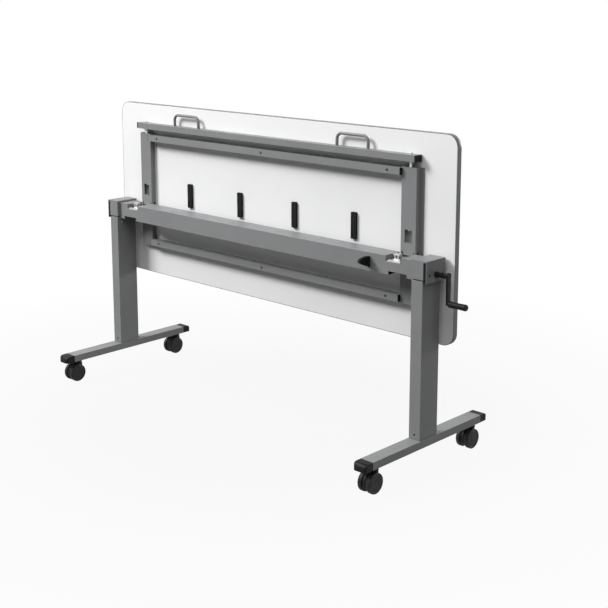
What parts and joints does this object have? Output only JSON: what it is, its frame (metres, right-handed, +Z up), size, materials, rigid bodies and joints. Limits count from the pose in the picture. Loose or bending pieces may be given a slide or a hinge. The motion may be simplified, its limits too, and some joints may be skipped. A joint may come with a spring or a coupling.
{
  "type": "flip top training table",
  "caption": "Folding training table: its top tilts upright on a steel frame that rolls on casters, with a crank that sets the height.",
  "frame": {"origin": "on the floor below the middle of the bounding box, with the worktop stored upright", "axes": "+Z up; +X along the worktop towards the crank; -Y is the side that the underside of the upright worktop faces"},
  "size_m": [1.6852, 0.608, 1.0365],
  "materials": {
    "white_laminate": "white melamine laminate on chipboard, fine matt grain",
    "grey_edge_band": "grey plastic edge band",
    "grey_paint": "dark silver powder coat, satin, fine texture",
    "black_plastic": "black moulded plastic, satin",
    "black_tyre": "black polyamide wheels with a soft tread",
    "zinc_steel": "bright zinc-plated steel",
    "black_steel": "black-finished steel screws",
    "dark_steel_tube": "drawn steel tube, dark phosphated and oiled",
    "die_cast": "die-cast zinc alloy",
    "brass": "turned brass"
  },
  "bodies": {
    "frame": {"hinge_left": "zinc_steel", "hinge_right": "zinc_steel", "hinge_pins": "black_steel", "hinge_screws": "zinc_steel", "beam": "grey_paint", "bracket_left": "grey_paint", "bracket_right": "grey_paint", "head_left": "grey_paint", "head_right": "grey_paint", "head_spacers": "black_plastic", "cover_left": "grey_paint", "cover_right": "grey_paint", "cover_screws": "black_steel", "gearbox_left": "die_cast", "gearbox_right": "die_cast", "inner_column_left": "dark_steel_tube", "inner_column_right": "dark_steel_tube", "bag_hook": "black_plastic"},
    "worktop": {"panel": "white_laminate", "edge_band": "grey_edge_band", "rail_left": "grey_paint", "rail_right": "grey_paint", "cross_rail_upper": "grey_paint", "cross_rail_lower": "grey_paint", "cross_plugs": "black_plastic", "underside_screws": "black_steel", "rest_pads": "black_plastic", "rod_guides": "black_plastic"},
    "release": {"release_bar": "grey_paint", "bar_caps": "black_plastic", "bar_handle_left": "grey_paint", "bar_handle_right": "grey_paint", "latch_rods": "zinc_steel", "rod_nuts": "zinc_steel"},
    "crank": {"drive_shaft": "zinc_steel", "shaft_gears": "zinc_steel", "crank_arm": "black_plastic", "grip_pin_bolt": "zinc_steel"},
    "grip": {"crank_grip": "black_plastic"},
    "screw_left": {"lead_screw_left": "zinc_steel"},
    "screw_right": {"lead_screw_right": "zinc_steel"},
    "leg_left": {"outer_column_left": "grey_paint", "foot_left": "grey_paint", "foot_caps_left": "black_plastic", "nut_post_left": "brass", "caster_stems_left": "zinc_steel"},
    "leg_right": {"outer_column_right": "grey_paint", "foot_right": "grey_paint", "foot_caps_right": "black_plastic", "nut_post_right": "brass", "caster_stems_right": "zinc_steel"},
    "swivel_front_left": {"caster_front_left": "black_plastic"},
    "wheelset_front_left": {"wheels_front_left": "black_tyre"},
    "swivel_front_right": {"caster_front_right": "black_plastic"},
    "wheelset_front_right": {"wheels_front_right": "black_tyre"},
    "swivel_back_left": {"caster_back_left": "black_plastic"},
    "wheelset_back_left": {"wheels_back_left": "black_tyre"},
    "swivel_back_right": {"caster_back_right": "black_plastic"},
    "wheelset_back_right": {"wheels_back_right": "black_tyre"}
  },
  "joints": [
    {"name": "flip", "type": "hinge", "parent": "frame", "child": "worktop", "pos_m": [-0.04265, 0.0462, 0.6593], "axis": [1, 0, 0], "range_deg": [0, 90]},
    {"name": "latch_release", "type": "slide", "parent": "worktop", "child": "release", "axis": [0, 0, 1], "range_m": [-0.01, 0.01]},
    {"name": "crank_turn", "type": "hinge", "parent": "frame", "child": "crank", "pos_m": [-0.04265, 0, 0.621], "axis": [1, 0, 0], "range_deg": [0, 21600]},
    {"name": "grip_spin", "type": "hinge", "parent": "crank", "child": "grip", "pos_m": [0.8, 0, 0.538], "axis": [1, 0, 0], "continuous": true},
    {"name": "screw_turn_left", "type": "hinge", "parent": "frame", "child": "screw_left", "pos_m": [-0.77865, 0, 0.4], "axis": [0, 0, 1], "range_deg": [-21600, 0]},
    {"name": "screw_turn_right", "type": "hinge", "parent": "frame", "child": "screw_right", "pos_m": [0.69335, 0, 0.4], "axis": [0, 0, 1], "range_deg": [-21600, 0]},
    {"name": "lift_left", "type": "slide", "parent": "frame", "child": "leg_left", "axis": [0, 0, -1], "range_m": [0, 0.3]},
    {"name": "lift_right", "type": "slide", "parent": "frame", "child": "leg_right", "axis": [0, 0, -1], "range_m": [0, 0.3001]},
    {"name": "swivel_turn_front_left", "type": "hinge", "parent": "leg_left", "child": "swivel_front_left", "pos_m": [-0.77865, -0.242, 0.06], "axis": [0, 0, 1], "continuous": true},
    {"name": "wheel_roll_front_left", "type": "hinge", "parent": "swivel_front_left", "child": "wheelset_front_left", "pos_m": [-0.77865, -0.252, 0.0325], "axis": [1, 0, 0], "continuous": true},
    {"name": "swivel_turn_front_right", "type": "hinge", "parent": "leg_right", "child": "swivel_front_right", "pos_m": [0.69335, -0.242, 0.06], "axis": [0, 0, 1], "continuous": true},
    {"name": "wheel_roll_front_right", "type": "hinge", "parent": "swivel_front_right", "child": "wheelset_front_right", "pos_m": [0.69335, -0.252, 0.0325], "axis": [1, 0, 0], "continuous": true},
    {"name": "swivel_turn_back_left", "type": "hinge", "parent": "leg_left", "child": "swivel_back_left", "pos_m": [-0.77865, 0.242, 0.06], "axis": [0, 0, 1], "continuous": true},
    {"name": "wheel_roll_back_left", "type": "hinge", "parent": "swivel_back_left", "child": "wheelset_back_left", "pos_m": [-0.77865, 0.232, 0.0325], "axis": [1, 0, 0], "continuous": true},
    {"name": "swivel_turn_back_right", "type": "hinge", "parent": "leg_right", "child": "swivel_back_right", "pos_m": [0.69335, 0.242, 0.06], "axis": [0, 0, 1], "continuous": true},
    {"name": "wheel_roll_back_right", "type": "hinge", "parent": "swivel_back_right", "child": "wheelset_back_right", "pos_m": [0.69335, 0.232, 0.0325], "axis": [1, 0, 0], "continuous": true}
  ],
  "couplings": [
    {"joint": "lift_right", "follows": "lift_left", "ratio": 1},
    {"joint": "crank_turn", "follows": "lift_left", "rad_per_m": 1256.6},
    {"joint": "screw_turn_left", "follows": "lift_left", "rad_per_m": -1256.6},
    {"joint": "screw_turn_right", "follows": "lift_left", "rad_per_m": -1256.6}
  ]
}
